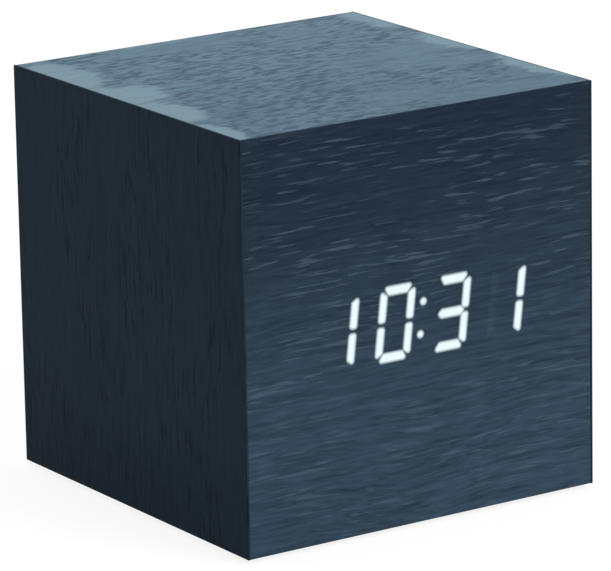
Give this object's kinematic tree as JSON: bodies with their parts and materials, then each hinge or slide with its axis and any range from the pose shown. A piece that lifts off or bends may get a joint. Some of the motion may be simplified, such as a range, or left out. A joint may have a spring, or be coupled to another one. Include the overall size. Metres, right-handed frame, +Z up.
{
  "type": "cube alarm clock",
  "caption": "Wood-veneered cube alarm clock whose seven-segment time glows through the front veneer, with setting buttons behind and a battery lid underneath.",
  "frame": {"origin": "under the centre of the cube, on the plane that the feet rest on", "axes": "+Z up, the display faces -Y, X across the display from its left to its right"},
  "size_m": [0.08, 0.08, 0.081],
  "materials": {
    "dark_veneer": "open-pored oak-type veneer, stained blue-black, matt",
    "mdf": "raw sawn board",
    "pine": "raw sawn",
    "steel": "zinc plated",
    "rubber": "matt",
    "black_plastic": "fine moulded texture",
    "white_plastic": "satin",
    "header_plastic": "satin",
    "diffuser": "milky resin",
    "led_resin": "clear phosphor resin",
    "circuit_board": "solder mask",
    "grey_cable": "flat ribbon",
    "red_lead": "insulated wire",
    "nickel": "nickel plated",
    "aluminium": "satin can",
    "cell_jacket": "plain printed jacket"
  },
  "bodies": {
    "clock_case": {"aaa_cells": "cell_jacket", "back_panel": "mdf", "back_veneer": "dark_veneer", "backup_cell": "steel", "backup_cell_holder": "black_plastic", "base_panel": "mdf", "base_screws": "steel", "base_veneer": "dark_veneer", "battery_contacts": "nickel", "battery_leads": "red_lead", "battery_tray": "black_plastic", "buzzer": "black_plastic", "capacitors": "aluminium", "clock_crystal": "nickel", "colon_dots": "diffuser", "control_board": "circuit_board", "control_header": "header_plastic", "control_plate": "black_plastic", "control_screws": "steel", "corner_blocks": "pine", "display_board": "circuit_board", "display_header": "header_plastic", "display_screws": "steel", "driver_chip": "black_plastic", "front_panel": "mdf", "front_veneer": "dark_veneer", "hour_tens_segments": "diffuser", "hour_units_segments": "diffuser", "leaf_springs": "nickel", "left_panel": "mdf", "left_veneer": "dark_veneer", "light_frame": "black_plastic", "microcontroller": "black_plastic", "microphone": "aluminium", "minute_tens_segments": "diffuser", "minute_units_segments": "diffuser", "ribbon_cable": "grey_cable", "right_panel": "mdf", "right_veneer": "dark_veneer", "rubber_feet": "rubber", "segment_leds": "led_resin", "tact_switches": "black_plastic", "top_panel": "mdf", "top_veneer": "dark_veneer", "usb_socket": "nickel"},
    "set_key": {"set_button": "black_plastic", "set_plunger": "white_plastic"},
    "up_key": {"up_button": "black_plastic", "up_plunger": "white_plastic"},
    "down_key": {"down_button": "black_plastic", "down_plunger": "white_plastic"},
    "battery_lid": {"battery_door": "black_plastic"}
  },
  "joints": [
    {"name": "set_press", "type": "slide", "parent": "clock_case", "child": "set_key", "axis": [0, -1, 0], "range_m": [0, 0.0004], "stiffness_N_per_m": 1500, "springref_m": -0.0003},
    {"name": "up_press", "type": "slide", "parent": "clock_case", "child": "up_key", "axis": [0, -1, 0], "range_m": [0, 0.0004], "stiffness_N_per_m": 1500, "springref_m": -0.0003},
    {"name": "down_press", "type": "slide", "parent": "clock_case", "child": "down_key", "axis": [0, -1, 0], "range_m": [0, 0.0004], "stiffness_N_per_m": 1500, "springref_m": -0.0003},
    {"name": "lid_hinge", "type": "hinge", "parent": "clock_case", "child": "battery_lid", "pos_m": [0, -0.0241, 0.0017], "axis": [-1, 0, 0], "range_deg": [0, 80]}
  ]
}
